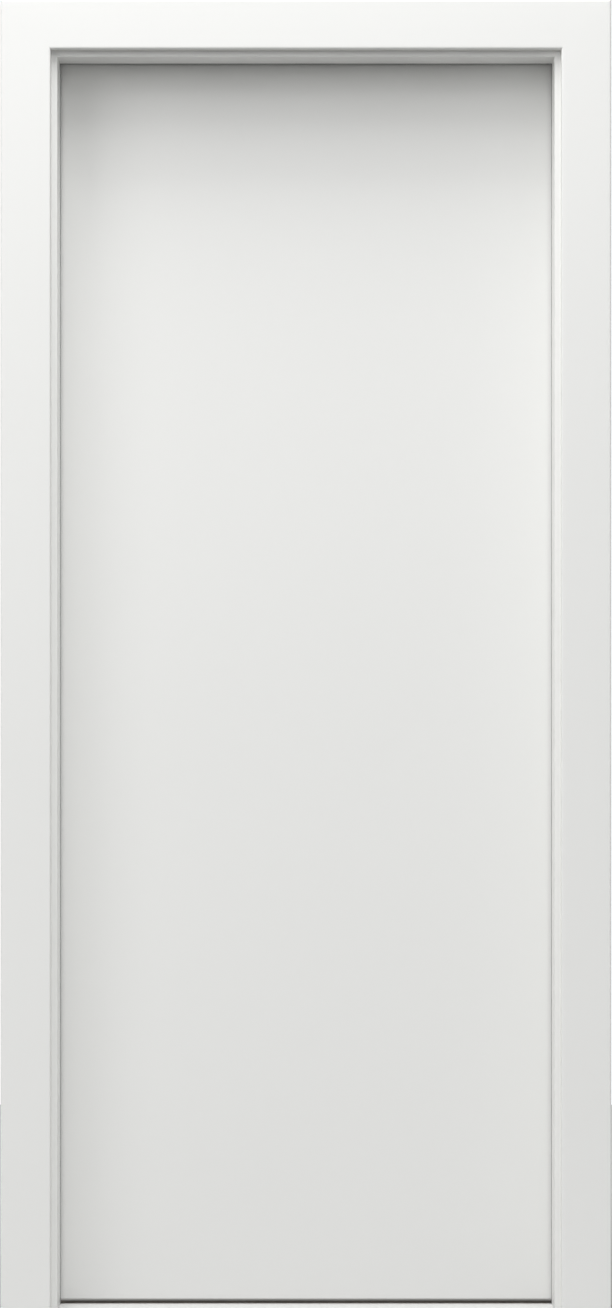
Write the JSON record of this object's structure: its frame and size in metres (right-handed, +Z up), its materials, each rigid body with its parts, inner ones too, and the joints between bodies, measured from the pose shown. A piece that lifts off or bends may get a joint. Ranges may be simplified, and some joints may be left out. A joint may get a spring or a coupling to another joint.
{
  "type": "interior door with frame",
  "caption": "Plain white flush interior door leaf with a rebated edge, hung on barrel hinges in a mitred lining with casings on both sides of the wall.",
  "frame": {"origin": "on the wall-side flat face of the hinge jamb's lining, at floor level and halfway through the wall", "axes": "+X across the doorway from the hinge jamb to the latch jamb, +Y through the wall to the side the leaf opens to, +Z up"},
  "size_m": [0.986, 0.143, 2.113],
  "materials": {
    "white_lacquer": "satin white lacquer on board",
    "leaf_timber": "satin white lacquer on timber edges",
    "core_board": "raw tubular board",
    "seal_rubber": "matt dark grey thermoplastic rubber",
    "hinge_steel": "satin nickel plate",
    "plate_steel": "zinc plated sheet",
    "pin_steel": "bright drawn steel",
    "ring_plastic": "matt"
  },
  "bodies": {
    "frame": {"lining_hinge": "white_lacquer", "front_casing_hinge": "white_lacquer", "rebate_casing_hinge": "white_lacquer", "seal_hinge": "seal_rubber", "lining_latch": "white_lacquer", "front_casing_latch": "white_lacquer", "rebate_casing_latch": "white_lacquer", "seal_latch": "seal_rubber", "lining_head": "white_lacquer", "front_casing_head": "white_lacquer", "rebate_casing_head": "white_lacquer", "seal_head": "seal_rubber", "hinge_frame_1": "hinge_steel", "hinge_pin_1": "pin_steel", "hinge_ring_1": "ring_plastic", "hinge_frame_2": "hinge_steel", "hinge_pin_2": "pin_steel", "hinge_ring_2": "ring_plastic", "hinge_frame_3": "hinge_steel", "hinge_pin_3": "pin_steel", "hinge_ring_3": "ring_plastic", "front_casing_plate_hinge": "plate_steel", "front_casing_plate_latch": "plate_steel", "rebate_casing_plate_hinge": "plate_steel", "rebate_casing_plate_latch": "plate_steel"},
    "leaf": {"leaf_facing_push": "white_lacquer", "leaf_facing_pull": "white_lacquer", "leaf_stile_hinge": "leaf_timber", "leaf_stile_latch": "leaf_timber", "leaf_rail_top": "leaf_timber", "leaf_rail_bottom": "leaf_timber", "leaf_core": "core_board", "hinge_leaf_1": "hinge_steel", "hinge_leaf_2": "hinge_steel", "hinge_leaf_3": "hinge_steel"}
  },
  "joints": [
    {"name": "leaf_swing", "type": "hinge", "parent": "frame", "child": "leaf", "pos_m": [-0.0085, 0.0775, 1], "axis": [0, 0, 1], "range_deg": [0, 180]}
  ]
}
